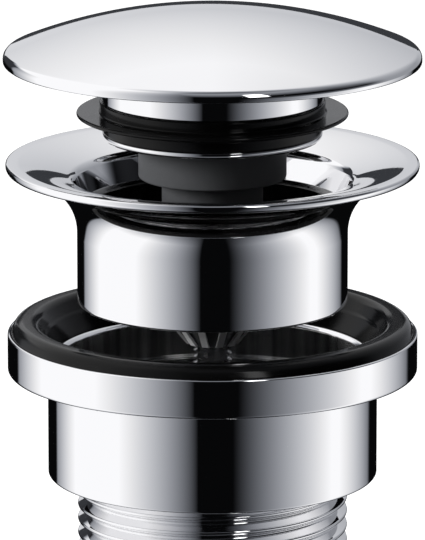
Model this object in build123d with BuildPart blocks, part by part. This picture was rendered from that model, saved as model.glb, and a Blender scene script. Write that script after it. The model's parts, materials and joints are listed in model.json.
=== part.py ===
from build123d import *
from math import asin, degrees
import os

# A push-open basin waste, in millimetres. The origin is the centre of the tail's
# lower end, and +Z runs up the axis to the cap. It is modelled open, as it stands
# when the spring has lifted the plug.

# Clearances
running = 0.06  # a screw turning in its thread, on the radius
seat_gap = 0.05  # pieces fitted into each other by hand, on the radius
slide_gap = 0.3  # pieces that pass each other as the waste opens and closes

# Travels
stroke = 11.5  # the plug, from open to closed
track_legs = 8  # legs of the plunger's zigzag track, each used for one stroke

# Tail tube, with the G 1 1/4 thread's outer diameter
tail_r = 20.955
tail_length = 36.0
tail_shoulder = 1.955  # from the thread in to the spigot
tail_wall = 1.5  # of the spigot
tail_chamfer = 1.0

# Lower body
cup_bore_r = 23.5
cup_wall = 2.0
cup_length = 16.35
cup_floor = 2.0
cup_step = 1.1
cup_step_height = 12.8
cup_edge = 0.4
mouth_chamfer = 0.5
seat_width = 7.2
seat_land = 0.5
seat_depth = 6.15
seat_dish = 3.7
seat_round = 0.3

# Gasket on the lower body's dish
gasket_crown = 1.85
gasket_crown_width = 2.7
gasket_crown_round = 0.1
gasket_shoulder = 1.25
gasket_foot = 1.9
gasket_step = 0.3
gasket_skirt = 0.6

# Bridge in the lower body
cross_arms = 4
cross_arm_width = 4.0
cross_thickness = 3.0
cross_ring_wall = 2.0
boss_r = 5.5
boss_length = 8.0

# Clamp screw, M6
screw_r = 2.985
screw_length = 35.0
screw_tip_chamfer = 0.6
head_r = 5.0
head_height = 3.5
socket_flats = 4.0
socket_depth = 2.0
washer_thickness = 1.0

# Upper body
body_lift = 4.7  # above the lower body, with a basin of middling thickness between
body_r = 20.89
body_wall = 1.99
body_length = 22.2
body_edge = 0.3
flange_r = 31.85
rim_thickness = 1.15
rim_round = 0.45
rim_land = 1.7
dish_depth = 2.2
dish_bow_r = 34.0  # the dish steepens from the rim's land down to the mouth
mouth_r = 21.35
mouth_depth = 2.8
mouth_round = 0.8
throat_height = 1.6
sweep_r = 5.5
sweep_angle = 60
sweep_drop = 10.0

# Spider in the upper body
spider_ribs = 12
rib_thickness = 1.1
rib_step = 0.7  # a rib's foot outside the hub's tip
rib_bend_r = 8.0
rib_bend_height = 4.7
hub_drop = 6.4  # the hub's tip stands out below the upper body
hub_tip_r = 3.5
hub_wall = 1.75
hub_cone = 7.3
hub_height = 13.7
head_seat = 3.2
barrel_seat = 8.2
spider_ring_wall = 1.3
spider_ring_height = 4.0

# Barrel and what turns and slides in it
barrel_r = 7.8
barrel_length = 23.1
barrel_floor = 1.5
barrel_wall = 1.6
chamber_wall = 0.9
chamber_depth = 3.6
barrel_cap_thickness = 1.0
barrel_cap_spigot = 0.6
ring_height = 2.4
pin_r = 0.75
pin_reach = 0.8  # how far a pin stands into the plunger's stem
stem_r = 4.7
foot_thickness = 2.0
spring_wire_r = 0.4
spring_play = 0.6  # between the coil and the barrel's bore
spring_turns = 4.5

# Plug
shoulder_lift = 9.6  # the neck's shoulder above the flange, with the waste open
neck_step = 3.95  # from the spigot out to the neck
neck_length = 9.5
neck_top = 2.0
spigot_wall = 1.55
spigot_recess = 0.2
sleeve_play = 0.6  # between the sleeve and the barrel
sleeve_wall = 3.0
sleeve_length = 19.5
sleeve_top = 1.5
seal_height = 4.9
seal_wall = 3.85
seal_root = 1.9
lip_play = 0.45  # between the lip and the flange's mouth
lip_lift = 2.9
lip_thickness = 0.6
collar_step = 0.45
collar_height = 1.85
retainer_thickness = 0.96
retainer_wall = 3.85
retainer_round = 0.5
stud_r = 2.5
stud_in_plunger = 6.0
stud_in_cap = 2.8
stud_hole_spare = 0.2

# Cap
cap_r = 32.15
cap_hang = 3.55  # the cap's edge below the neck's top
cap_height = 8.05
cap_side = 1.5  # of that height, the upright edge below the dome
cap_wall = 1.6
cap_round = 1.3
cap_edge_round = 0.3

# Heights worked out from the sizes above
cup_z = tail_length
floor_z = cup_z + cup_floor
step_z = cup_z + cup_step_height
seat_z = cup_z + cup_length + seat_depth
cross_z = floor_z + cross_thickness
body_z = seat_z + body_lift
flange_z = body_z + body_length
dish_z = flange_z - dish_depth
throat_z = dish_z - mouth_depth
hub_z = body_z - hub_drop
head_z = hub_z + head_seat + washer_thickness + seat_gap
barrel_z = hub_z + barrel_seat
barrel_top_z = barrel_z + barrel_length
ledge_z = barrel_top_z - chamber_depth
ring_z = ledge_z + slide_gap
pin_z = ring_z + ring_height / 2
foot_z = ledge_z - slide_gap - foot_thickness
shoulder_z = flange_z + shoulder_lift
neck_top_z = shoulder_z + neck_length
sleeve_top_z = neck_top_z - neck_top
stem_top_z = sleeve_top_z - sleeve_top
seal_z = shoulder_z - seal_height
retainer_z = seal_z - retainer_thickness
cap_edge_z = neck_top_z - cap_hang

# Widths of the lower half
tail_spigot_r = tail_r - tail_shoulder
tail_bore_r = tail_spigot_r - tail_wall
cup_r = cup_bore_r + cup_wall
cup_step_r = cup_bore_r - cup_step
seat_mouth_r = cup_bore_r + mouth_chamfer
seat_land_r = seat_mouth_r + seat_width
seat_r = seat_land_r + seat_land
gasket_r = seat_land_r - seat_gap
gasket_crown_out_r = gasket_r - gasket_shoulder
gasket_crown_in_r = gasket_crown_out_r - gasket_crown_width
gasket_step_r = seat_mouth_r + gasket_foot
screw_hole_r = screw_r + running
head_pocket_r = head_r + slide_gap

# Widths of the upper body and the latch
body_bore_r = body_r - body_wall
hub_r = barrel_r + seat_gap + hub_wall
barrel_bore_r = barrel_r - barrel_wall
chamber_r = barrel_r - chamber_wall
ring_bore_r = stem_r + slide_gap
ring_r = chamber_r - slide_gap
track_depth = pin_reach + slide_gap
track_width = 2 * (pin_r + slide_gap)
leg_angle = 360 / track_legs
spring_r = barrel_bore_r - spring_play - spring_wire_r

# Widths of the plug, from the barrel outwards
sleeve_bore_r = barrel_r + sleeve_play
sleeve_r = sleeve_bore_r + sleeve_wall
spigot_r = sleeve_r + seat_gap + spigot_wall
neck_r = spigot_r + neck_step
seal_r = spigot_r + seat_gap + seal_wall
collar_r = seal_r + collar_step
retainer_r = spigot_r + seat_gap + retainer_wall
lip_r = mouth_r - lip_play

# The dome passes through the cap's apex and the top of its upright edge
dome_rise = cap_height - cap_side
dome_r = (cap_r**2 + dome_rise**2) / (2 * dome_rise)
dome_centre_z = cap_edge_z + cap_height - dome_r


# Tail tube: its spigot is brazed into the floor of the lower body
with BuildPart() as tail:
    with BuildSketch(Plane.XZ):
        with BuildLine():
            Polyline(
                (tail_bore_r, 0),
                (tail_r, 0),
                (tail_r, tail_length),
                (tail_spigot_r, tail_length),
                (tail_spigot_r, floor_z),
                (tail_bore_r, floor_z),
                close=True,
            )
        make_face()
    revolve(axis=Axis.Z)
    chamfer(tail.edges().group_by(Axis.Z)[0].sort_by(SortBy.RADIUS)[-1], tail_chamfer)

# Lower body: a cup with a broad flange, dished to carry the gasket
with BuildPart() as cup_body:
    with BuildSketch(Plane.XZ):
        with BuildLine():
            Polyline(
                (tail_spigot_r + seat_gap, cup_z),
                (cup_r, cup_z),
                (cup_r, seat_z - seat_depth),
                (seat_r, seat_z - seat_depth),
                (seat_r, seat_z),
                (seat_land_r, seat_z),
                (seat_land_r, seat_z - gasket_skirt),
                (seat_mouth_r, seat_z - seat_dish),
                (cup_bore_r, seat_z - seat_dish - mouth_chamfer),
                (cup_bore_r, step_z),
                (cup_step_r, step_z),
                (cup_step_r, floor_z),
                (tail_spigot_r + seat_gap, floor_z),
                close=True,
            )
        make_face()
    revolve(axis=Axis.Z)
    outer_rims = cup_body.edges().filter_by(GeomType.CIRCLE)
    fillet(outer_rims.group_by(SortBy.RADIUS)[-1], seat_round)
    chamfer(outer_rims.group_by(Axis.Z)[0].sort_by(SortBy.RADIUS)[-1], cup_edge)

# Gasket: a rubber ring that lies in the dish and stands above it in a round crown
with BuildPart() as gasket:
    with BuildSketch(Plane.XZ):
        with BuildLine():
            crown_top_r = (gasket_crown_in_r + gasket_crown_out_r) / 2
            crown = ThreePointArc(
                (gasket_crown_in_r, seat_z + gasket_crown),
                (crown_top_r, seat_z + gasket_crown + gasket_crown_round),
                (gasket_crown_out_r, seat_z + gasket_crown - gasket_crown_round),
            )
            shoulder = Spline(crown @ 1, (gasket_r, seat_z), tangents=(crown % 1, (0, -1)))
            Polyline(
                shoulder @ 1,
                (gasket_r, seat_z - gasket_skirt),
                (seat_mouth_r + seat_gap, seat_z - seat_dish + seat_gap),
                (gasket_step_r - gasket_step, seat_z - gasket_skirt),
                (gasket_step_r, seat_z - gasket_skirt + gasket_step),
                crown @ 0,
            )
        make_face()
    revolve(axis=Axis.Z)

# Bridge: a ring on the cup's floor, with arms to a threaded boss on the axis
with BuildPart() as lower_cross:
    with BuildSketch(Plane.XY.offset(floor_z)):
        Circle(cup_step_r - seat_gap)
        Circle(cup_step_r - seat_gap - cross_ring_wall, mode=Mode.SUBTRACT)
        with PolarLocations(0, cross_arms):
            Rectangle(
                cup_step_r - cross_ring_wall, cross_arm_width, align=(Align.MIN, Align.CENTER)
            )
    extrude(amount=cross_thickness)
    with BuildSketch(Plane.XY.offset(cross_z)):
        Circle(boss_r)
    extrude(amount=-boss_length)
    with BuildSketch(Plane.XY.offset(cross_z)):
        Circle(screw_hole_r)
    extrude(amount=-boss_length, mode=Mode.SUBTRACT)

# Clamp screw: its head sits in the hub and its shank is at the thread's outer diameter
with BuildPart() as clamp_screw:
    with BuildSketch(Plane.XY.offset(head_z)):
        Circle(screw_r)
    extrude(amount=-screw_length)
    chamfer(clamp_screw.edges().group_by(Axis.Z)[0], screw_tip_chamfer)
    with BuildSketch(Plane.XY.offset(head_z)):
        Circle(head_r)
    extrude(amount=head_height)
    with BuildSketch(Plane.XY.offset(head_z + head_height)):
        RegularPolygon(socket_flats / 2, 6, major_radius=False)
    extrude(amount=-socket_depth, mode=Mode.SUBTRACT)

# Washer under the screw's head
with BuildPart() as screw_washer:
    with BuildSketch(Plane.XY.offset(hub_z + head_seat)):
        Circle(head_pocket_r - seat_gap)
        Circle(screw_hole_r, mode=Mode.SUBTRACT)
    extrude(amount=washer_thickness)

# Upper body: dished flange, seat for the plug's lip and a cylinder that hangs
# through the basin's hole into the cup
with BuildPart() as valve_body:
    with BuildSketch(Plane.XZ) as valve_profile:
        with BuildLine():
            sweep_up = CenterArc(
                (body_r + sweep_r, flange_z - sweep_drop), sweep_r, 180, -sweep_angle
            )
            rim = Polyline(
                sweep_up @ 1,
                (flange_r, flange_z - rim_thickness),
                (flange_r, flange_z),
                (flange_r - rim_land, flange_z),
            )
            dish = RadiusArc(rim @ 1, (mouth_r + mouth_round, dish_z), -dish_bow_r)
            Polyline(
                dish @ 1,
                (mouth_r, dish_z - mouth_round),
                (mouth_r, throat_z),
                (body_bore_r, throat_z - throat_height),
                (body_bore_r, body_z),
                (body_r, body_z),
                sweep_up @ 0,
            )
        make_face()
        fillet(valve_profile.vertices().group_by(Axis.X)[-1], rim_round)
    revolve(axis=Axis.Z)
    chamfer(valve_body.edges().group_by(Axis.Z)[0].sort_by(SortBy.RADIUS)[-1], body_edge)

# One rib of the spider, from the hub's tip up and out to the ring
with BuildPart() as rib:
    ring_foot_z = hub_z + hub_height - spider_ring_height
    rib_end_r = body_bore_r - seat_gap - spider_ring_wall / 2
    with BuildSketch(Plane.XZ):
        with BuildLine():
            lower_edge = Line(
                (hub_tip_r + rib_step, hub_z), (rib_bend_r, hub_z + rib_bend_height)
            )
            sweep_out = TangentArc(
                lower_edge @ 1, (rib_end_r, ring_foot_z), tangent=lower_edge % 1
            )
            Polyline(
                sweep_out @ 1,
                (rib_end_r, hub_z + hub_height),
                (hub_tip_r, hub_z + hub_height),
                (hub_tip_r, hub_z),
                lower_edge @ 0,
            )
        make_face()
    extrude(amount=rib_thickness / 2, both=True)

# Spider: conical hub with ribs to a ring pressed into the upper body
with BuildPart() as spider:
    with BuildSketch(Plane.XZ):
        with BuildLine():
            Polyline(
                (0, hub_z),
                (hub_tip_r, hub_z),
                (hub_r, hub_z + hub_cone),
                (hub_r, hub_z + hub_height),
                (0, hub_z + hub_height),
                close=True,
            )
        make_face()
    revolve(axis=Axis.Z)
    with PolarLocations(0, spider_ribs, start_angle=180 / spider_ribs):
        add(rib.part)
    with BuildSketch(Plane.XY.offset(hub_z + hub_height)):
        Circle(body_bore_r - seat_gap)
        Circle(body_bore_r - seat_gap - spider_ring_wall, mode=Mode.SUBTRACT)
    extrude(amount=-spider_ring_height)
    with BuildSketch(Plane.XY.offset(hub_z)):
        Circle(screw_hole_r)
    extrude(amount=hub_height, mode=Mode.SUBTRACT)
    with BuildSketch(Plane.XY.offset(hub_z + head_seat)):
        Circle(head_pocket_r)
    extrude(amount=hub_height, mode=Mode.SUBTRACT)
    with BuildSketch(Plane.XY.offset(barrel_z)):
        Circle(barrel_r + seat_gap)
    extrude(amount=hub_height, mode=Mode.SUBTRACT)

# Barrel: a tube with a floor, and a wider chamber at its top for the track ring
with BuildPart() as barrel:
    with BuildSketch(Plane.XZ):
        with BuildLine():
            Polyline(
                (0, barrel_z),
                (barrel_r, barrel_z),
                (barrel_r, barrel_top_z),
                (chamber_r, barrel_top_z),
                (chamber_r, ledge_z),
                (barrel_bore_r, ledge_z),
                (barrel_bore_r, barrel_z + barrel_floor),
                (0, barrel_z + barrel_floor),
                close=True,
            )
        make_face()
    revolve(axis=Axis.Z)

# Barrel cap: closes the chamber and guides the plunger
with BuildPart() as barrel_cap:
    with BuildSketch(Plane.XZ):
        with BuildLine():
            Polyline(
                (ring_bore_r, barrel_top_z - barrel_cap_spigot),
                (chamber_r - seat_gap, barrel_top_z - barrel_cap_spigot),
                (chamber_r - seat_gap, barrel_top_z),
                (barrel_r, barrel_top_z),
                (barrel_r, barrel_top_z + barrel_cap_thickness),
                (ring_bore_r, barrel_top_z + barrel_cap_thickness),
                close=True,
            )
        make_face()
    revolve(axis=Axis.Z)

# Track ring: turns in the chamber, driven by its two pins
with BuildPart() as track_ring:
    with BuildSketch(Plane.XY.offset(ring_z)):
        Circle(ring_r)
        Circle(ring_bore_r, mode=Mode.SUBTRACT)
    extrude(amount=ring_height)
    with BuildSketch(Plane.YZ.offset(-ring_r)):
        with Locations((0, pin_z)):
            Circle(pin_r + seat_gap)
    extrude(amount=2 * ring_r, mode=Mode.SUBTRACT)

# Track pins: one on each side of the ring, reaching into the plunger's track
with BuildPart() as track_pins:
    with BuildSketch(Plane.YZ.offset(stem_r - pin_reach)):
        with Locations((0, pin_z)):
            Circle(pin_r)
    extrude(amount=(ring_bore_r + ring_r) / 2 - stem_r + pin_reach)
    mirror(about=Plane.YZ)

# Two legs of the track, which rise as helices to both sides of a low point. A pin
# that runs along a leg turns the track ring by that leg's angle in each stroke.
with BuildPart() as track_vee:
    for lefthand in (False, True):
        with BuildLine(Plane.XY.offset(pin_z)) as track_leg:
            Helix(stroke * track_legs, stroke, stem_r, lefthand=lefthand)
        leg_start = Plane(
            origin=track_leg.line @ 0, x_dir=(1, 0, 0), z_dir=track_leg.line % 0
        )
        with BuildSketch(leg_start):
            Rectangle(2 * track_depth, track_width)
        sweep(path=track_leg.line, is_frenet=True)
    for end_angle, end_z in ((0, pin_z), (leg_angle, pin_z + stroke)):
        end_plane = Plane.YZ.rotated((0, 0, end_angle)).offset(stem_r - track_depth)
        with BuildSketch(end_plane):
            with Locations((0, end_z)):
                Circle(track_width / 2)
        extrude(amount=2 * track_depth)

# Plunger: a stem with a foot below, a stud hole above and the zigzag track round it
with BuildPart() as plunger:
    with BuildSketch(Plane.XZ):
        with BuildLine():
            Polyline(
                (0, foot_z),
                (barrel_bore_r - slide_gap, foot_z),
                (barrel_bore_r - slide_gap, foot_z + foot_thickness),
                (stem_r, foot_z + foot_thickness),
                (stem_r, stem_top_z),
                (stud_r + seat_gap, stem_top_z),
                (stud_r + seat_gap, stem_top_z - stud_in_plunger - stud_hole_spare),
                (0, stem_top_z - stud_in_plunger - stud_hole_spare),
                close=True,
            )
        make_face()
    revolve(axis=Axis.Z)
    with PolarLocations(0, track_legs // 2):
        add(track_vee.part, mode=Mode.SUBTRACT)

# Spring: stands on the barrel's floor and lifts the plunger's foot
with BuildPart() as spring:
    spring_base_z = barrel_z + barrel_floor + spring_wire_r + seat_gap
    spring_length = foot_z - spring_wire_r - slide_gap - spring_base_z
    with BuildLine(Plane.XY.offset(spring_base_z)) as coil:
        Helix(spring_length / spring_turns, spring_length, spring_r)
    with BuildSketch(Plane(origin=coil.line @ 0, z_dir=coil.line % 0)):
        Circle(spring_wire_r)
    sweep(path=coil.line, is_frenet=True)

# Guide sleeve: slides over the barrel, with a top that is clamped under the neck
with BuildPart() as guide_sleeve:
    with BuildSketch(Plane.XZ):
        with BuildLine():
            Polyline(
                (sleeve_bore_r, sleeve_top_z - sleeve_length),
                (sleeve_r, sleeve_top_z - sleeve_length),
                (sleeve_r, sleeve_top_z),
                (stud_r + seat_gap, sleeve_top_z),
                (stud_r + seat_gap, stem_top_z),
                (sleeve_bore_r, stem_top_z),
                close=True,
            )
        make_face()
    revolve(axis=Axis.Z)

# Neck: a shoulder above the seal and a threaded spigot through it
with BuildPart() as plug_neck:
    with BuildSketch(Plane.XZ):
        with BuildLine():
            Polyline(
                (sleeve_r + seat_gap, retainer_z + spigot_recess),
                (spigot_r, retainer_z + spigot_recess),
                (spigot_r, shoulder_z),
                (neck_r, shoulder_z),
                (neck_r, neck_top_z),
                (stud_r + seat_gap, neck_top_z),
                (stud_r + seat_gap, sleeve_top_z),
                (sleeve_r + seat_gap, sleeve_top_z),
                close=True,
            )
        make_face()
    revolve(axis=Axis.Z)

# Seal: a body round the spigot, a thin lip and a collar under the neck's shoulder
with BuildPart() as plug_seal:
    lip_z = seal_z + lip_lift
    collar_z = shoulder_z - collar_height
    with BuildSketch(Plane.XZ):
        with BuildLine():
            lip_tip = CenterArc((lip_r - lip_thickness / 2, lip_z), lip_thickness / 2, -90, 180)
            Polyline(
                lip_tip @ 1,
                (collar_r, collar_z),
                (collar_r, shoulder_z),
                (spigot_r + seat_gap, shoulder_z),
                (spigot_r + seat_gap, seal_z),
                (seal_r, seal_z),
                (seal_r, seal_z + seal_root),
                lip_tip @ 0,
            )
        make_face()
    revolve(axis=Axis.Z)

# Retainer: a thin ring screwed onto the spigot under the seal
with BuildPart() as seal_retainer:
    with BuildSketch(Plane.XY.offset(retainer_z)):
        Circle(retainer_r)
        Circle(spigot_r + seat_gap, mode=Mode.SUBTRACT)
    extrude(amount=retainer_thickness)
    retainer_rims = seal_retainer.edges().group_by(Axis.Z)[0]
    fillet(retainer_rims.sort_by(SortBy.RADIUS)[-1], retainer_round)

# Stud: holds cap, neck, sleeve and plunger together
with BuildPart() as plug_stud:
    with BuildSketch(Plane.XY.offset(stem_top_z - stud_in_plunger)):
        Circle(stud_r)
    extrude(amount=neck_top_z + stud_in_cap - stem_top_z + stud_in_plunger)

# Cap: a shallow dome of even wall with a boss on the neck
with BuildPart() as cap:
    dome_half_angle = degrees(asin(cap_r / dome_r))
    rim_half_angle = degrees(asin((cap_r - cap_wall) / (dome_r - cap_wall)))
    boss_half_angle = degrees(asin(neck_r / (dome_r - cap_wall)))
    with BuildSketch(Plane.XZ):
        with BuildLine():
            dome_centre = (0, dome_centre_z)
            dome = CenterArc(dome_centre, dome_r, 90 - dome_half_angle, dome_half_angle)
            hollow = CenterArc(
                dome_centre,
                dome_r - cap_wall,
                90 - rim_half_angle,
                rim_half_angle - boss_half_angle,
            )
            Polyline(
                dome @ 0, (cap_r, cap_edge_z), (cap_r - cap_wall, cap_edge_z), hollow @ 0
            )
            Polyline(
                hollow @ 1,
                (neck_r, neck_top_z),
                (stud_r + seat_gap, neck_top_z),
                (stud_r + seat_gap, neck_top_z + stud_in_cap + stud_hole_spare),
                (0, neck_top_z + stud_in_cap + stud_hole_spare),
                dome @ 1,
            )
        make_face()
    revolve(axis=Axis.Z)
    level_rims = cap.edges().filter_by(GeomType.CIRCLE).filter_by(Plane.XY)
    outer_rims = level_rims.group_by(SortBy.RADIUS)[-1].sort_by(Axis.Z)
    fillet(outer_rims[-1], cap_round)
    level_rims = cap.edges().filter_by(GeomType.CIRCLE).filter_by(Plane.XY)
    outer_rims = level_rims.group_by(SortBy.RADIUS)[-1].sort_by(Axis.Z)
    fillet(outer_rims[0], cap_edge_round)

# One STEP file for each piece
pieces = {
    "tail": tail,
    "cup_body": cup_body,
    "gasket": gasket,
    "lower_cross": lower_cross,
    "clamp_screw": clamp_screw,
    "screw_washer": screw_washer,
    "valve_body": valve_body,
    "spider": spider,
    "barrel": barrel,
    "barrel_cap": barrel_cap,
    "track_ring": track_ring,
    "track_pins": track_pins,
    "plunger": plunger,
    "spring": spring,
    "guide_sleeve": guide_sleeve,
    "plug_neck": plug_neck,
    "plug_seal": plug_seal,
    "seal_retainer": seal_retainer,
    "plug_stud": plug_stud,
    "cap": cap,
}
for name, piece in pieces.items():
    piece.part.label = name
    export_step(piece.part, f"parts/{name}.step")
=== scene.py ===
import json
from math import asin, atan, atan2, cos, degrees, hypot, pi, radians, sin

import bmesh
import bpy
from mathutils import Matrix, Vector


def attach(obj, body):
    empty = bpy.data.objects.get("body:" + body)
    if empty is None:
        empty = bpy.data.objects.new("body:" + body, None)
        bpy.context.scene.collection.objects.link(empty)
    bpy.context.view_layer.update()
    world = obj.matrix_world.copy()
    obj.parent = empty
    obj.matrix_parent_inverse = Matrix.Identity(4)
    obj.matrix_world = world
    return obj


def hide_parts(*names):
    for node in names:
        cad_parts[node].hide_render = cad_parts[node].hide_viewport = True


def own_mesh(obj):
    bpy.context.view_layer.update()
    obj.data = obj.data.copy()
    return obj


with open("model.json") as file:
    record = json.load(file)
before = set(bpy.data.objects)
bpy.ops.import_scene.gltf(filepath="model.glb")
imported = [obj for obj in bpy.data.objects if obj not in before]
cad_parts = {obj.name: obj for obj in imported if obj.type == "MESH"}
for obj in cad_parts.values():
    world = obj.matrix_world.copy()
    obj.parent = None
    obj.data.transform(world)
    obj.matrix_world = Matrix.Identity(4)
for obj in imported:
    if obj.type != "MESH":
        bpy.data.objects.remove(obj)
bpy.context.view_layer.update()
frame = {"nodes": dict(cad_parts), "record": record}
nodes = frame["nodes"]
record = frame["record"]
scene = bpy.context.scene
scene.view_settings.view_transform = "Standard"

# The photograph's view: 13.7 degrees above the horizon, from a metre away
VIEW_ELEVATION = radians(13.72)
VIEW_DISTANCE = 1.0
VIEW_CENTRE_Z = 0.0585
FOCAL_PIXELS = 6464
PHOTO_HEIGHT = 540
CENTRE_ROW = 330.8
SENSOR = 36.0


def make_camera():
    """Camera in front of the object, tilted so that the lower body's rim stands at its row."""
    camera = bpy.data.objects.new("camera", bpy.data.cameras.new("camera"))
    scene.collection.objects.link(camera)
    camera.data.sensor_width = SENSOR
    camera.data.lens = SENSOR * FOCAL_PIXELS / PHOTO_HEIGHT
    back = Vector((0, -cos(VIEW_ELEVATION), sin(VIEW_ELEVATION)))
    camera.location = Vector((0, 0, VIEW_CENTRE_Z)) + VIEW_DISTANCE * back
    tilt = atan((CENTRE_ROW - PHOTO_HEIGHT / 2) / FOCAL_PIXELS)
    camera.rotation_euler = (pi / 2 - VIEW_ELEVATION + tilt, 0, 0)
    scene.camera = camera


# Small helpers for node trees
def put(tree, kind, inputs=None, **settings):
    """A new node with its settings, and its inputs as numbers or links."""
    node = tree.nodes.new("ShaderNode" + kind)
    for name, value in settings.items():
        setattr(node, name, value)
    for key, value in (inputs or {}).items():
        if isinstance(value, bpy.types.NodeSocket):
            tree.links.new(value, node.inputs[key])
        else:
            node.inputs[key].default_value = value
    return node


def calc(tree, operation, *values):
    """The result of a Math node."""
    return put(tree, "Math", dict(enumerate(values)), operation=operation).outputs[0]


def blend(tree, share, low, high):
    """The number between low and high that lies at the given share."""
    return put(tree, "Mix", {0: share, 2: low, 3: high}).outputs[0]


def mix_colour(tree, share, low, high):
    """The colour between low and high that lies at the given share."""
    return put(tree, "Mix", {0: share, 6: low, 7: high}, data_type="RGBA").outputs[2]


def ramp(tree, value, low, high):
    """A straight slope from 0 at low to 1 at high. Low may be the greater of the two."""
    return put(tree, "MapRange", {"Value": value, "From Min": low, "From Max": high}).outputs[0]


def between(tree, value, low, high):
    """A soft step from 0 at low to 1 at high. Low may be the greater of the two."""
    span = {"Value": value, "From Min": low, "From Max": high}
    return put(tree, "MapRange", span, interpolation_type="SMOOTHSTEP").outputs[0]


def window(tree, value, low, high, soft):
    """1 between low and high, with soft edges about them."""
    rise = between(tree, value, low - soft, low + soft)
    fall = between(tree, value, high + soft, high - soft)
    return calc(tree, "MULTIPLY", rise, fall)


def product(tree, *values):
    """All values multiplied."""
    total = values[0]
    for value in values[1:]:
        total = calc(tree, "MULTIPLY", total, value)
    return total


def bare_material(name):
    """A material and its node tree, which is empty."""
    material = bpy.data.materials.new(name)
    material.use_nodes = True
    material.node_tree.nodes.clear()
    return material, material.node_tree


def new_object(name, bm):
    """An object in the scene, with the mesh that bm holds."""
    mesh = bpy.data.meshes.new(name)
    bm.to_mesh(mesh)
    bm.free()
    thing = bpy.data.objects.new(name, mesh)
    scene.collection.objects.link(thing)
    return thing


# The studio that the chrome shows. Bearings run from 0 at the camera round by the right, and
# elevations from the horizon, in degrees. Below an edge, a soft panel stands at the left and
# another at the right, with dark gaps in front and behind. Above the edge, a pale wall rises
# at the back and right, and the left panel goes on. A dim ceiling lies over them, and a small
# lamp hangs at the front right. A pair of angles says where a share is 0 and where it is 1.
PANEL_STRENGTH = 1.2
LEFT_FRONT = (350, 291)
LEFT_BACK = (208, 248)
LEFT_HIGH_BACK = (200, 216)
RIGHT_FRONT = (14, 92)
RIGHT_CURVE = 1.35
RIGHT_BACK = (150, 100)
GAP_RIGHT = (139, 145)
GAP_LEFT = (221, 217)
GAP_SHARE = 0.035
HAZE_RISE = (-9, 0)
PANEL_FOOT = (-72, -45)
PANEL_TOP = (62, 86)
TOP_SHARE = 0.25

# The edge's height at three bearings, and how soft it is at the right and at the left
EDGE_RIGHT = -9.5
EDGE_BACK = -3.0
EDGE_LEFT = 20.0
EDGE_TO_BACK = (125, 172)
EDGE_TO_LEFT = (196, 199)
EDGE_SOFTNESS = (1.2, 4.0)
EDGE_SOFTENS = (194, 210)

# The wall's level at its foot, at the right and behind, and at its top behind
WALL_FOOT = (0.32, 0.65)
WALL_FOOT_SPAN = (150, 187)
WALL_TOP = 0.95
WALL_TOP_SPAN = (62, 180)
WALL_RISE = (10, 45)
WALL_RIGHT = (92, 112)
WALL_LEFT = (240, 220)
GLOW_SHARE = 0.25
GLOW_TOP = 8
CEILING = (22, 60)
CEILING_SHARE = 0.3

LAMP_BEARING = (20, 31)
LAMP_RISE = (13, 46)
LAMP_SIDE_SOFT = 1.5
LAMP_END_SOFT = 4
LAMP_STRENGTH = 4.0

COOL = (0.83, 0.88, 1.0, 1)
WHITE = (0.99, 0.99, 1.0, 1)
PURE_WHITE = (1, 1, 1, 1)
BLACK_GLOW = 0.003
MATT_LEVEL = 0.09


def make_panels(tree, bearing, rise, left, right):
    """The level below the edge: both panels, and a haze in the gap behind."""
    right_low = product(tree, right, ramp(tree, bearing, *RIGHT_BACK))
    left_low = product(tree, left, ramp(tree, bearing, *LEFT_BACK))
    gap_right = between(tree, bearing, *GAP_RIGHT)
    gap_left = between(tree, bearing, *GAP_LEFT)
    gap = product(tree, gap_right, gap_left)
    panels = calc(tree, "ADD", left_low, right_low)
    panels = calc(tree, "MULTIPLY", panels, calc(tree, "SUBTRACT", 1, gap))
    haze = product(tree, gap, between(tree, rise, *HAZE_RISE), GAP_SHARE)
    return calc(tree, "ADD", panels, haze)


def make_wall(tree, bearing, rise, left, right):
    """The level above the edge: the wall, the left panel and the ceiling."""
    foot = blend(tree, ramp(tree, bearing, *WALL_FOOT_SPAN), *WALL_FOOT)
    foot = product(tree, between(tree, bearing, *WALL_RIGHT), foot)
    top = product(tree, ramp(tree, bearing, *WALL_TOP_SPAN), WALL_TOP)
    wall = blend(tree, ramp(tree, rise, *WALL_RISE), foot, top)
    wall = product(tree, wall, between(tree, bearing, *WALL_LEFT))
    glow = product(tree, right, ramp(tree, rise, GLOW_TOP, EDGE_RIGHT), GLOW_SHARE)
    glow = product(tree, glow, between(tree, bearing, *reversed(WALL_RIGHT)))
    wall = calc(tree, "ADD", wall, glow)
    panel = product(tree, left, between(tree, bearing, *LEFT_HIGH_BACK))
    ceiling = product(tree, ramp(tree, rise, *CEILING), CEILING_SHARE)
    return calc(tree, "MAXIMUM", calc(tree, "MAXIMUM", wall, panel), ceiling)


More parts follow.
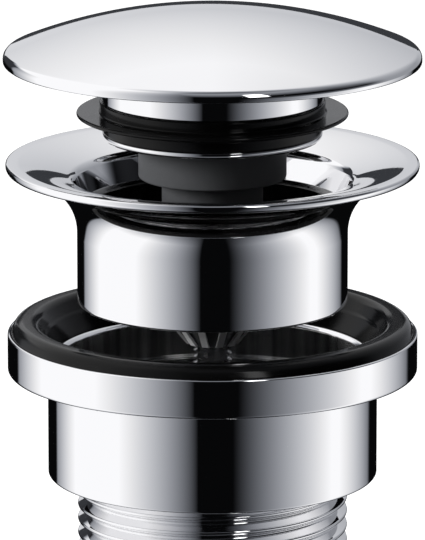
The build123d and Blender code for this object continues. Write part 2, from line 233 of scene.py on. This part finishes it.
def make_studio():
    """World: white to the camera, soft on matt surfaces, panels and dark gaps in the chrome."""
    world = bpy.data.worlds.new("studio")
    scene.world = world
    world.use_nodes = True
    world.cycles.sampling_method = "NONE"
    tree = world.node_tree
    tree.nodes.clear()
    direction = put(tree, "TexCoord").outputs["Generated"]
    x, y, z = put(tree, "SeparateXYZ", {0: direction}).outputs
    bearing = calc(tree, "DEGREES", calc(tree, "ARCTAN2", x, calc(tree, "MULTIPLY", y, -1)))
    bearing = calc(tree, "WRAP", bearing, 360, 0)
    rise = calc(tree, "DEGREES", calc(tree, "ARCSINE", z))

    left = ramp(tree, bearing, *LEFT_FRONT)
    right = calc(tree, "POWER", ramp(tree, bearing, *RIGHT_FRONT), RIGHT_CURVE)
    low = make_panels(tree, bearing, rise, left, right)
    high = make_wall(tree, bearing, rise, left, right)

    edge = blend(tree, ramp(tree, bearing, *EDGE_TO_BACK), EDGE_RIGHT, EDGE_BACK)
    edge = blend(tree, ramp(tree, bearing, *EDGE_TO_LEFT), edge, EDGE_LEFT)
    softness = blend(tree, between(tree, bearing, *EDGE_SOFTENS), *EDGE_SOFTNESS)
    over = calc(tree, "DIVIDE", calc(tree, "SUBTRACT", rise, edge), softness)
    level = blend(tree, between(tree, over, -1, 1), low, high)
    level = product(tree, level, ramp(tree, rise, *PANEL_FOOT))
    level = product(tree, level, blend(tree, ramp(tree, rise, *PANEL_TOP), 1, TOP_SHARE))

    across = window(tree, bearing, *LAMP_BEARING, LAMP_SIDE_SOFT)
    along = window(tree, rise, *LAMP_RISE, LAMP_END_SOFT)
    lamp = product(tree, across, along, LAMP_STRENGTH)
    level = product(tree, calc(tree, "ADD", level, lamp), PANEL_STRENGTH)
    level = calc(tree, "ADD", level, BLACK_GLOW)
    tint = mix_colour(tree, level, COOL, WHITE)

    path = put(tree, "LightPath").outputs
    matt = blend(tree, path["Is Glossy Ray"], MATT_LEVEL, level)
    seen = blend(tree, path["Is Camera Ray"], matt, 1.0)
    cast = product(tree, path["Is Glossy Ray"], calc(tree, "SUBTRACT", 1, path["Is Camera Ray"]))
    colour = mix_colour(tree, cast, PURE_WHITE, tint)
    glow = put(tree, "Background", {"Color": colour, "Strength": seen})
    put(tree, "OutputWorld", {"Surface": glow.outputs[0]})


FLOOR_SIZE = 6.0
FLOOR_PAINT = (0.8, 0.8, 0.8, 1)
FLOOR_GLOW = 0.85


def make_floor():
    """Pale floor: white to the camera with the object's soft shadow, unseen in the chrome."""
    bm = bmesh.new()
    bmesh.ops.create_grid(bm, x_segments=1, y_segments=1, size=FLOOR_SIZE)
    floor = new_object("floor", bm)
    floor.visible_diffuse = False
    material, tree = bare_material("floor")
    path = put(tree, "LightPath").outputs
    paint = put(tree, "BsdfDiffuse", {"Color": FLOOR_PAINT}).outputs[0]
    glow = put(tree, "Emission", {"Color": PURE_WHITE, "Strength": FLOOR_GLOW}).outputs[0]
    lit = put(tree, "AddShader", {0: paint, 1: glow}).outputs[0]
    seen = put(tree, "MixShader", {0: path["Is Camera Ray"], 1: paint, 2: lit}).outputs[0]
    clear = put(tree, "BsdfTransparent").outputs[0]
    both = put(tree, "MixShader", {0: path["Is Glossy Ray"], 1: seen, 2: clear}).outputs[0]
    put(tree, "OutputMaterial", {"Surface": both})
    floor.data.materials.append(material)


# Dark flag behind the object. The cap and the dish, at their own heights, show its upper edge.
FLAG_WIDTH = 0.165
FLAG_HEIGHT = 0.045
FLAG_X = -0.0125
FLAG_Y = 0.209
FLAG_TOP = 0.1168
FLAG_TILT = radians(9)
FLAG_GLOW = 0.05


def make_flag():
    """A board that only the chrome sees."""
    bm = bmesh.new()
    bmesh.ops.create_grid(bm, x_segments=1, y_segments=1, size=0.5)
    bmesh.ops.scale(bm, verts=bm.verts, vec=(FLAG_WIDTH, FLAG_HEIGHT, 1))
    bmesh.ops.translate(bm, verts=bm.verts, vec=(FLAG_X, -FLAG_HEIGHT / 2, 0))
    for angle, axis in ((FLAG_TILT, "Z"), (pi / 2, "X")):
        turn = Matrix.Rotation(angle, 3, axis)
        bmesh.ops.rotate(bm, verts=bm.verts, cent=(0, 0, 0), matrix=turn)
    bmesh.ops.translate(bm, verts=bm.verts, vec=(0, FLAG_Y, FLAG_TOP))
    flag = new_object("flag", bm)
    flag.visible_camera = False
    flag.visible_diffuse = False
    flag.visible_shadow = False
    material, tree = bare_material("flag")
    glow = put(tree, "Emission", {"Color": COOL, "Strength": FLAG_GLOW})
    put(tree, "OutputMaterial", {"Surface": glow.outputs[0]})
    flag.data.materials.append(material)


# Lamps, each as (place, size, power)
KEY_LAMP = ((-1.2, -0.3, 0.5), 0.6, 24.0)
FILL_LAMP = ((0.9, -0.5, 0.5), 0.8, 0.3)


def make_lamp(name, place, size, power):
    """Soft lamp aimed at the middle of the object. The chrome shows the studio, not the lamps."""
    lamp = bpy.data.objects.new(name, bpy.data.lights.new(name, "AREA"))
    lamp.data.shape = "DISK"
    lamp.data.size = size
    lamp.data.energy = power
    lamp.location = place
    aim = Vector((0, 0, VIEW_CENTRE_Z)) - lamp.location
    lamp.rotation_euler = aim.to_track_quat("-Z", "Y").to_euler()
    lamp.visible_glossy = False
    lamp.visible_camera = False
    scene.collection.objects.link(lamp)


# Finishes. A noise is given by its scale, or by its scale and detail. Colours and roughness
# change between the two values that are given for them.
MM = 0.001
CHROME = (0.80, 0.80, 0.81)
POLISHED = (0.02, 0.05)
SMEARS = (90.0, 3.0)

# A dull bore with painted shade: its roughness, the softness of its edge in millimetres, and the
# upright streaks in its painted shade
DULL_ROUGH = 0.22
DULL_EDGE = 0.08
STREAK = 0.4
STREAK_NOISE = 500.0
STREAK_SPAN = (0.35, 0.65)
STREAK_STRETCH = 0.03

# The spider's hub between its ribs, a cone that widens upwards from its foot, in millimetres,
# with painted shade on it.
# The rib edge says how far outside the cone a rib's own finish begins and is full.
HUB_FOOT_R = 3.5
HUB_FOOT_Z = 56.8
HUB_SLOPE = 0.836
HUB_TOP_R = 9.6
HUB_PAINTED_SHADE = (0.08, 0.08, 0.08, 1)
RIB_EDGE = (0.1, 0.35)

RUBBER_COLOUR = (0.004, 0.004, 0.004, 1)
RUBBER_SHEEN = 0.15
RUBBER_ROUGH = (0.1, 0.17)
RUBBER_DUST = (160.0, 4.0)
RUBBER_GRAIN = 3500.0
RUBBER_GRAIN_DEPTH = 0.00002
RUBBER_GRAIN_STRENGTH = 0.1

PLASTIC_SHEEN = 0.2
PLASTIC_FLOW = (120.0, 3.0)
PLASTIC_DARK = 0.85
PLASTIC_GRAIN = 2600.0
PLASTIC_GRAIN_STRENGTH = 0.6

METAL_DETAIL = 4.0
METAL_DARK = 0.8


def new_material(name):
    """A material with its tree, its shader and the place on the object."""
    material, tree = bare_material(name)
    shader = put(tree, "BsdfPrincipled")
    put(tree, "OutputMaterial", {"Surface": shader.outputs[0]})
    place = put(tree, "TexCoord").outputs["Object"]
    return material, tree, shader, place


def noise(tree, place, scale, detail=2.0):
    """Soft noise from 0 to 1, by the place on the object."""
    return put(tree, "TexNoise", {"Vector": place, "Scale": scale, "Detail": detail}).outputs[0]


def add_grain(tree, shader, place, scale, depth, strength):
    """Fine grain as a bump on the surface."""
    height = noise(tree, place, scale)
    grain = put(tree, "Bump", {"Height": height, "Distance": depth, "Strength": strength})
    tree.links.new(grain.outputs[0], shader.inputs["Normal"])


def in_bore(tree, reach, z, bore):
    """1 inside a bore, given as (radius, lowest and highest height) in millimetres, where the
    gloss dulls and shade is painted.
    """
    radius, low, high = (size * MM for size in bore)
    soft = DULL_EDGE * MM
    within = between(tree, reach, radius + soft, radius - soft)
    return product(tree, within, window(tree, z, low, high, soft))


def streaked_bore_shade(tree, x, y, z, bore_shade_level):
    """Painted shade in upright streaks, between a share of the given level and all of it."""
    stretched = {0: x, 1: y, 2: calc(tree, "MULTIPLY", z, STREAK_STRETCH)}
    place = put(tree, "CombineXYZ", stretched).outputs[0]
    light = ramp(tree, noise(tree, place, STREAK_NOISE), *STREAK_SPAN)
    return blend(tree, light, STREAK * bore_shade_level, bore_shade_level)


def on_ribs(tree, reach, z):
    """1 on the spider's ribs, 0 on the hub's cone between them, where shade is painted."""
    climb = calc(tree, "MULTIPLY", calc(tree, "SUBTRACT", z, HUB_FOOT_Z * MM), HUB_SLOPE)
    cone = calc(tree, "ADD", climb, HUB_FOOT_R * MM)
    cone = calc(tree, "MINIMUM", cone, HUB_TOP_R * MM)
    low, high = (size * MM for size in RIB_EDGE)
    return between(tree, calc(tree, "SUBTRACT", reach, cone), low, high)


def chrome_plate(name, colour, rough, bore=None, bore_shade_level=0.1, metal=1.0, ribbed=False):
    """Polished chrome with faint smears, which change its gloss from place to place.

    A bore, as (radius, lowest and highest height) in millimetres, is left dull and painted darker
    as shade, in upright streaks. Metal below 1 gives the frosted grey of a plated casting. A
    ribbed one has painted shade on the hub between its ribs."""
    material, tree, shader, place = new_material(name)
    shader.inputs["Base Color"].default_value = (*colour, 1)
    shader.inputs["Metallic"].default_value = metal
    gloss = blend(tree, noise(tree, place, *SMEARS), *rough)
    if bore:
        x, y, z = put(tree, "SeparateXYZ", {0: place}).outputs
        square = calc(tree, "ADD", calc(tree, "MULTIPLY", x, x), calc(tree, "MULTIPLY", y, y))
        reach = calc(tree, "SQRT", square)
        inside = in_bore(tree, reach, z, bore)
        # Painted shade: inside the bore the base colour falls to a dark grey, in upright streaks.
        shade = mix_colour(tree, inside, (*colour, 1), streaked_bore_shade(tree, x, y, z, bore_shade_level))
        if ribbed:
            # Painted shade on the hub's cone between the ribs.
            shade = mix_colour(tree, on_ribs(tree, reach, z), HUB_PAINTED_SHADE, shade)
        tree.links.new(shade, shader.inputs["Base Color"])
        gloss = blend(tree, inside, gloss, DULL_ROUGH)
    tree.links.new(gloss, shader.inputs["Roughness"])
    return material


def rubber():
    """Black moulded rubber: smooth, with a sheen that dust dulls here and there."""
    material, tree, shader, place = new_material("black_rubber")
    shader.inputs["Base Color"].default_value = RUBBER_COLOUR
    shader.inputs["Specular IOR Level"].default_value = RUBBER_SHEEN
    rough = blend(tree, noise(tree, place, *RUBBER_DUST), *RUBBER_ROUGH)
    tree.links.new(rough, shader.inputs["Roughness"])
    add_grain(tree, shader, place, RUBBER_GRAIN, RUBBER_GRAIN_DEPTH, RUBBER_GRAIN_STRENGTH)
    return material


def moulded_plastic(name, colour, rough, grain_depth):
    """Moulded plastic with soft flow marks and a fine grain."""
    material, tree, shader, place = new_material(name)
    dark = tuple(PLASTIC_DARK * c for c in colour)
    flow = noise(tree, place, *PLASTIC_FLOW)
    shade = mix_colour(tree, flow, (*dark, 1), (*colour, 1))
    tree.links.new(shade, shader.inputs["Base Color"])
    shader.inputs["Roughness"].default_value = rough
    shader.inputs["Specular IOR Level"].default_value = PLASTIC_SHEEN
    add_grain(tree, shader, place, PLASTIC_GRAIN, grain_depth, PLASTIC_GRAIN_STRENGTH)
    return material


def plain_metal(name, colour, rough, scale):
    """Plain metal whose colour and gloss change in small clouds."""
    material, tree, shader, place = new_material(name)
    dark = tuple(METAL_DARK * c for c in colour)
    cloud = noise(tree, place, scale, METAL_DETAIL)
    shade = mix_colour(tree, cloud, (*dark, 1), (*colour, 1))
    tree.links.new(shade, shader.inputs["Base Color"])
    shader.inputs["Metallic"].default_value = 1.0
    tree.links.new(blend(tree, cloud, *rough), shader.inputs["Roughness"])
    return material


# Dull bores with painted shade, as (radius, lowest and highest height)
BODY_BORE = (20.6, 63.4, 78.75)
CUP_BORE = (23.6, 37.0, 54.4)
SPIDER_BORE = (19.6, 64.0, 80.0)

chrome = chrome_plate("polished_chrome", CHROME, POLISHED)
# The bores of the valve body, the cup and the spider are painted darker as shade; the cup's is
# lighter.
body_chrome = chrome_plate("body_chrome", CHROME, POLISHED, BODY_BORE)
cup_chrome = chrome_plate("cup_chrome", CHROME, POLISHED, CUP_BORE, bore_shade_level=0.75)
inner_chrome = chrome_plate(
    "inner_chrome", (0.85, 0.85, 0.86), (0.08, 0.14), SPIDER_BORE, metal=0.1, ribbed=True
)
# The bridge's dark grey is painted shade inside the enclosed cup.
bridge_painted_shade = chrome_plate("bridge_painted_shade", (0.12, 0.12, 0.12), (0.35, 0.45))
black_rubber = rubber()
charcoal = moulded_plastic("charcoal_plastic", (0.075, 0.077, 0.081), 0.55, 0.00003)
pale = moulded_plastic("pale_plastic", (0.72, 0.71, 0.67), 0.38, 0.00001)
steel = plain_metal("plated_steel", (0.62, 0.62, 0.63), (0.18, 0.32), 700.0)

FINISH = {
    "tail": chrome, "cup_body": cup_chrome, "valve_body": body_chrome, "plug_neck": chrome,
    "seal_retainer": chrome, "cap": chrome, "spider": inner_chrome, "gasket": black_rubber,
    "plug_seal": black_rubber, "lower_cross": bridge_painted_shade, "clamp_screw": steel,
    "screw_washer": steel, "spring": steel, "track_pins": steel, "plug_stud": steel,
    "barrel": charcoal, "barrel_cap": charcoal, "guide_sleeve": charcoal, "track_ring": pale,
    "plunger": pale,
}
BODY = {node: body for body, held in record["behaviour"]["bodies"].items() for node in held}

# Turned and threaded pieces. Their outlines are corners as (radius, height, rounding), in
# millimetres, where the rounding is how far along each side of the corner it begins. The steps
# are those of a full turn. WELD and LEVEL are in metres: points closer than the first are
# joined, and a point closer to a height than the second lies at that height.
TURN_STEPS = 192
TAIL_STEPS = 128
SCREW_STEPS = 48
ROUNDING_STEPS = 3
ROUNDING_STEPS_PER_MM = 6
SHARP_ANGLE = radians(40)
WELD = 1e-7
LEVEL = 1e-6


def arc(centre, radius, start, end, steps):
    """Points of a round stretch, by angle in degrees."""
    for step in range(steps + 1):
        angle = radians(start + (end - start) * step / steps)
        yield centre[0] + radius * cos(angle), centre[1] + radius * sin(angle)


def bow(start, end, radius, steps):
    """Points of the arc between two points that bulges to the right of the way between them."""
    across, up = end[0] - start[0], end[1] - start[1]
    chord = hypot(across, up)
    rise = (radius**2 - chord**2 / 4) ** 0.5
    centre = (
        (start[0] + end[0]) / 2 - up / chord * rise,
        (start[1] + end[1]) / 2 + across / chord * rise,
    )
    first = degrees(atan2(start[1] - centre[1], start[0] - centre[0]))
    half = degrees(asin(chord / 2 / radius))
    return arc(centre, radius, first, first + 2 * half, steps)


def draw_outline(bm, corners):
    """The closed outline as edges in the plane through the axis, less any stretch on the axis."""
    points = [bm.verts.new((corner[0] * MM, 0, corner[1] * MM)) for corner in corners]
    bm.faces.new(points)
    for point, corner in zip(points, corners):
        if len(corner) == 3:
            bmesh.ops.bevel(
                bm,
                geom=[point],
                offset=corner[2] * MM,
                segments=ROUNDING_STEPS + int(ROUNDING_STEPS_PER_MM * corner[2]),
                profile=0.5,
                affect="VERTICES",
                material=-1,
            )
    bmesh.ops.delete(bm, geom=bm.faces[:], context="FACES_ONLY")
    on_axis = [edge for edge in bm.edges if all(abs(v.co.x) < WELD for v in edge.verts)]
    bmesh.ops.delete(bm, geom=on_axis, context="EDGES")


def draw_line(bm, corners):
    """An open line through corners as (radius, height). Returns its points and edges."""
    points = [bm.verts.new((radius * MM, 0, height * MM)) for radius, height in corners]
    return points + [bm.edges.new(pair) for pair in zip(points, points[1:])]


def spin_round(bm, geom, steps, rise=0.0):
    """One turn about the axis, climbing by rise metres where that is given."""
    bmesh.ops.spin(
        bm,
        geom=geom,
        cent=(0, 0, 0),
        axis=(0, 0, 1),
        dvec=(0, 0, rise / steps),
        angle=2 * pi,
        steps=steps,
        use_merge=not rise,
    )


def finish_piece(bm, name, node):
    """Joins doubled points, and puts the mesh in the CAD node's place with the node's finish."""
    bmesh.ops.remove_doubles(bm, verts=bm.verts, dist=WELD)
    bmesh.ops.recalc_face_normals(bm, faces=bm.faces)
    piece = new_object(name, bm)
    piece.data.shade_smooth()
    piece.data.set_sharp_from_angle(angle=SHARP_ANGLE)
    piece.data.materials.append(FINISH[node])
    even = piece.modifiers.new("even_normals", "WEIGHTED_NORMAL")
    even.weight = 100
    even.keep_sharp = True
    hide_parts(node)
    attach(piece, BODY[node])


def turned(name, node, *corners):
    """A piece turned on the lathe from a closed outline."""
    bm = bmesh.new()
    draw_outline(bm, corners)
    spin_round(bm, bm.verts[:] + bm.edges[:], TURN_STEPS)
    finish_piece(bm, name, node)


# Heights and radii that neighbours share
TAIL_END_Z = 36.0
CUP_FLOOR_Z = 38.0
CUP_STEP_Z = 48.8
SEAT_Z = 58.5
LAND_Z = SEAT_Z - 0.6
BODY_Z = 63.2
FLANGE_Z = 85.4
RETAINER_Z = 89.14
SEAL_Z = 90.1
SHOULDER_Z = 95.0
CAP_EDGE_Z = 100.95
SLEEVE_TOP_Z = 102.5
NECK_TOP_Z = 104.5
APEX_Z = 109.0
SPIGOT_R = 13.0
SLEEVE_R = 11.4
NECK_R = 16.95
STUD_HOLE_R = 2.55
FIT = 0.05


def make_cup_body():
    wall_r = 25.5
    bore_r = 23.5
    bore_z = SEAT_Z - 4.2
    cone_r = bore_r + 0.5
    cone_z = SEAT_Z - 3.7
    step_r = 22.4
    rim_r = 31.7
    rim_foot_z = SEAT_Z - 6.15
    land_r = 31.2
    foot_r = 19.05
    turned(
        "turned_cup_body",
        "cup_body",
        (foot_r, TAIL_END_Z, 0.2),
        (wall_r, TAIL_END_Z, 0.45),
        (wall_r, rim_foot_z, 0.15),
        (rim_r, rim_foot_z, 0.6),
        (rim_r, SEAT_Z, 0.25),
        (land_r, SEAT_Z, 0.15),
        (land_r, LAND_Z),
        (cone_r, cone_z, 0.2),
        (bore_r, bore_z, 0.15),
        (bore_r, CUP_STEP_Z, 0.1),
        (step_r, CUP_STEP_Z, 0.25),
        (step_r, CUP_FLOOR_Z, 0.3),
        (foot_r, CUP_FLOOR_Z, 0.15),
    )


def make_valve_body():
    body_r = 20.89
    bore_r = 18.9
    rim_r = 31.85
    rim_land = 1.7
    rim_foot_z = FLANGE_Z - 1.15
    mouth_r = 21.4
    mouth_z = 82.9
    dish_bow_r = 34.0
    sweep_r = 9.0
    sweep_foot_z = 74.3
    sweep_end = 105
    seat_r = 20.2
    seat_z = 78.7
    dish_top = (rim_r - rim_land, FLANGE_Z)
    dish_foot = (mouth_r + 1.1, mouth_z + 0.45)
    turned(
        "turned_valve_body",
        "valve_body",
        (bore_r, BODY_Z, 0.15),
        (body_r, BODY_Z, 0.35),
        *arc((body_r + sweep_r, sweep_foot_z), sweep_r, 180, sweep_end, 24),
        (rim_r, rim_foot_z, 0.5),
        (rim_r, FLANGE_Z, 0.4),
        *bow(dish_top, dish_foot, dish_bow_r, 16),
        (mouth_r, mouth_z, 0.85),
        (seat_r, seat_z, 0.08),
        (bore_r, seat_z - 0.3, 0.2),
    )


def make_cap():
    edge_r = 32.15
    wall = 1.6
    side = 1.5
    stud_hole_top_z = NECK_TOP_Z + 3.0
    rise = APEX_Z - CAP_EDGE_Z - side
    dome_r = (edge_r**2 + rise**2) / (2 * rise)
    centre_z = APEX_Z - dome_r
    fillet_reach = 0.9
    edge_angle = degrees(asin((edge_r - fillet_reach) / dome_r))
    inner_edge_angle = degrees(asin((edge_r - wall) / (dome_r - wall)))
    boss_angle = degrees(asin(NECK_R / (dome_r - wall)))
    dome = list(arc((0, centre_z), dome_r, 90, 90 - edge_angle, 40))
    turned(
        "turned_cap",
        "cap",
        (0, stud_hole_top_z),
        (0, APEX_Z),
        *dome[1:],
        (edge_r, CAP_EDGE_Z + side, 0.8),
        (edge_r, CAP_EDGE_Z, 0.3),
        (edge_r - wall, CAP_EDGE_Z, 0.3),
        *arc((0, centre_z), dome_r - wall, 90 - inner_edge_angle, 90 - boss_angle, 24),
        (NECK_R, NECK_TOP_Z, 0.2),
        (STUD_HOLE_R, NECK_TOP_Z, 0.1),
        (STUD_HOLE_R, stud_hole_top_z, 0.1),
    )


def make_neck():
    spigot_z = RETAINER_Z + 0.2
    turned(
        "turned_neck",
        "plug_neck",
        (SLEEVE_R + FIT, spigot_z, 0.1),
        (SPIGOT_R, spigot_z, 0.2),
        (SPIGOT_R, SHOULDER_Z, 0.1),
        (NECK_R, SHOULDER_Z, 0.2),
        (NECK_R, NECK_TOP_Z, 0.15),
        (STUD_HOLE_R, NECK_TOP_Z, 0.1),
        (STUD_HOLE_R, SLEEVE_TOP_Z, 0.1),
        (SLEEVE_R + FIT, SLEEVE_TOP_Z, 0.1),
    )


def make_retainer():
    retainer_r = 16.9
    turned(
        "turned_retainer",
        "seal_retainer",
        (SPIGOT_R + FIT, RETAINER_Z, 0.1),
        (retainer_r, RETAINER_Z, 0.5),
        (retainer_r, SEAL_Z, 0.1),
        (SPIGOT_R + FIT, SEAL_Z, 0.05),
    )


def make_sleeve():
    bore_r = 8.4
    foot_z = SLEEVE_TOP_Z - 19.5
    roof_z = SLEEVE_TOP_Z - 1.5
    turned(
        "moulded_sleeve",
        "guide_sleeve",
        (bore_r, foot_z, 0.2),
        (SLEEVE_R, foot_z, 0.35),
        (SLEEVE_R, SLEEVE_TOP_Z, 0.2),
        (STUD_HOLE_R, SLEEVE_TOP_Z, 0.1),
        (STUD_HOLE_R, roof_z, 0.1),
        (bore_r, roof_z, 0.3),
    )


def make_plug_seal():
    seal_r = 16.9
    web_z = SEAL_Z + 1.9
    collar_r = 17.35
    collar_z = SHOULDER_Z - 1.85
    lip_r = 20.9
    lip_z = SEAL_Z + 2.9
    lip_half = 0.3
    turned(
        "moulded_plug_seal",
        "plug_seal",
        (SPIGOT_R + FIT, SEAL_Z, 0.1),
        (seal_r, SEAL_Z, 0.25),
        (seal_r, web_z, 0.35),
        (lip_r, lip_z - lip_half, 0.28),
        (lip_r, lip_z + lip_half, 0.28),
        (collar_r, collar_z, 0.35),
        (collar_r, SHOULDER_Z, 0.3),
        (SPIGOT_R + FIT, SHOULDER_Z, 0.1),
    )


def make_gasket():
    out_r = 31.15
    toe_r = 24.05
    toe_z = SEAT_Z - 3.65
    step_r = 25.9
    step = 0.3
    crown_in_r = 27.2
    crown_in_z = SEAT_Z + 1.9
    crown_out_r = 30.4
    crown_out_z = SEAT_Z + 1.95
    turned(
        "moulded_gasket",
        "gasket",
        (out_r, LAND_Z, 0.1),
        (toe_r, toe_z, 0.3),
        (step_r - step, LAND_Z, 0.2),
        (step_r, SEAT_Z - step, 0.2),
        (crown_in_r, crown_in_z, 0.9),
        (crown_out_r, crown_out_z, 1.2),
        (out_r, SEAT_Z, 0.4),
    )


# Thread forms: (share of the pitch, share of the depth) from one root to the next
PIPE_FORM = (
    (0, 0), (0.071, 0.031), (0.122, 0.115), (0.378, 0.885), (0.429, 0.969),
    (0.5, 1), (0.571, 0.969), (0.622, 0.885), (0.878, 0.115), (0.929, 0.031),
)
SCREW_FORM = ((0, 0), (0.125, 0), (0.4375, 1), (0.5625, 1), (0.875, 0))
THREAD_START = 0.5


def cut_thread(bm, form, pitch, crest_r, depth, low, high, steps):
    """An open threaded surface from low to high, which starts partway through a pitch."""
    turns = int((high - low) / pitch) + 3
    first = low - (2 - THREAD_START) * pitch
    corners = [
        (crest_r - depth * (1 - out), first + (turn + up) * pitch)
        for turn in range(turns)
        for up, out in form
    ]
    spin_round(bm, draw_line(bm, corners), steps, pitch * MM)
    bmesh.ops.remove_doubles(bm, verts=bm.verts, dist=WELD)
    for height, side in ((low, -1), (high, 1)):
        bmesh.ops.bisect_plane(
            bm,
            geom=bm.verts[:] + bm.edges[:] + bm.faces[:],
            plane_co=(0, 0, height * MM),
            plane_no=(0, 0, side),
            clear_outer=True,
        )


def open_edges(bm, height):
    """The open edges at one height, in millimetres."""
    return [
        edge
        for edge in bm.edges
        if edge.is_boundary and all(abs(v.co.z - height * MM) < LEVEL for v in edge.verts)
    ]


def run_in(bm, end_z, end_r):
    """Chamfers a thread's lower end at 45 degrees: there it is at most end_r in radius."""
    for vert in bm.verts:
        limit = end_r * MM + max(vert.co.z - end_z * MM, 0.0)
        reach = hypot(vert.co.x, vert.co.y)
        if reach > limit:
            vert.co.x *= limit / reach
            vert.co.y *= limit / reach


def make_tail():
    """Tail tube with its G 1 1/4 thread, run in at the lower end."""
    pitch = 2.309
    depth = 1.479
    crest_r = 20.955
    run_in_depth = 1.2
    bore_r = 17.5
    spigot_r = 19.0
    bm = bmesh.new()
    cut_thread(bm, PIPE_FORM, pitch, crest_r, depth, 0, TAIL_END_Z, TAIL_STEPS)
    run_in(bm, 0, crest_r - run_in_depth)
    inner = ((bore_r, 0), (bore_r, CUP_FLOOR_Z), (spigot_r, CUP_FLOOR_Z), (spigot_r, TAIL_END_Z))
    spin_round(bm, draw_line(bm, inner), TAIL_STEPS)
    bmesh.ops.remove_doubles(bm, verts=bm.verts, dist=WELD)
    for height in (0, TAIL_END_Z):
        bmesh.ops.bridge_loops(bm, edges=open_edges(bm, height))
    finish_piece(bm, "threaded_tail", "tail")


def make_clamp_screw():
    """M6 screw, threaded to its head, with a hexagon socket."""
    pitch = 1.0
    depth = 0.613
    crest_r = 2.985
    tip_r = 2.2
    length = 35.0
    head_z = 61.05
    head_height = 3.5
    head_r = 5.0
    socket_r = 2.31
    socket_depth = 2.0
    tip_z = head_z - length
    bm = bmesh.new()
    cut_thread(bm, SCREW_FORM, pitch, crest_r, depth, tip_z, head_z, SCREW_STEPS)
    run_in(bm, tip_z, tip_r)
    for height in (tip_z, head_z):
        bmesh.ops.contextual_create(bm, geom=open_edges(bm, height))

    top = (head_z + head_height) * MM
    socket = bmesh.ops.create_circle(bm, segments=6, radius=socket_r * MM)["verts"]
    rim = bmesh.ops.create_circle(bm, segments=SCREW_STEPS, radius=head_r * MM)["verts"]
    bmesh.ops.translate(bm, verts=socket + rim, vec=(0, 0, top))
    hexagon = [edge for edge in bm.edges if edge.is_wire and edge.verts[0] in socket]
    bmesh.ops.subdivide_edges(bm, edges=hexagon, cuts=SCREW_STEPS // 6 - 1)
    loose = [edge for edge in bm.edges if edge.is_wire]
    bmesh.ops.bridge_loops(bm, edges=loose)
    middle = (socket_r + head_r) / 2 * MM
    for inner, drop in ((True, socket_depth), (False, head_height)):
        ring = [
            edge
            for edge in bm.edges
            if edge.is_boundary and (hypot(*edge.verts[0].co.xy) < middle) == inner
        ]
        down = bmesh.ops.extrude_edge_only(bm, edges=ring)["geom"]
        lower = [part for part in down if isinstance(part, bmesh.types.BMVert)]
        bmesh.ops.translate(bm, verts=lower, vec=(0, 0, -drop * MM))
        end = [edge for edge in bm.edges if edge.is_boundary and edge.verts[0] in lower]
        bmesh.ops.contextual_create(bm, geom=end)
    finish_piece(bm, "threaded_clamp_screw", "clamp_screw")


def squeeze_spring():
    """Gives the spring a mesh of its own."""
    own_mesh(nodes["spring"])


make_camera()
make_studio()
make_floor()
make_flag()
make_lamp("key", *KEY_LAMP)
make_lamp("fill", *FILL_LAMP)
for node, finish in FINISH.items():
    nodes[node].data.materials.clear()
    nodes[node].data.materials.append(finish)
make_cup_body()
make_valve_body()
make_cap()
make_neck()
make_retainer()
make_sleeve()
make_plug_seal()
make_gasket()
make_tail()
make_clamp_screw()
squeeze_spring()
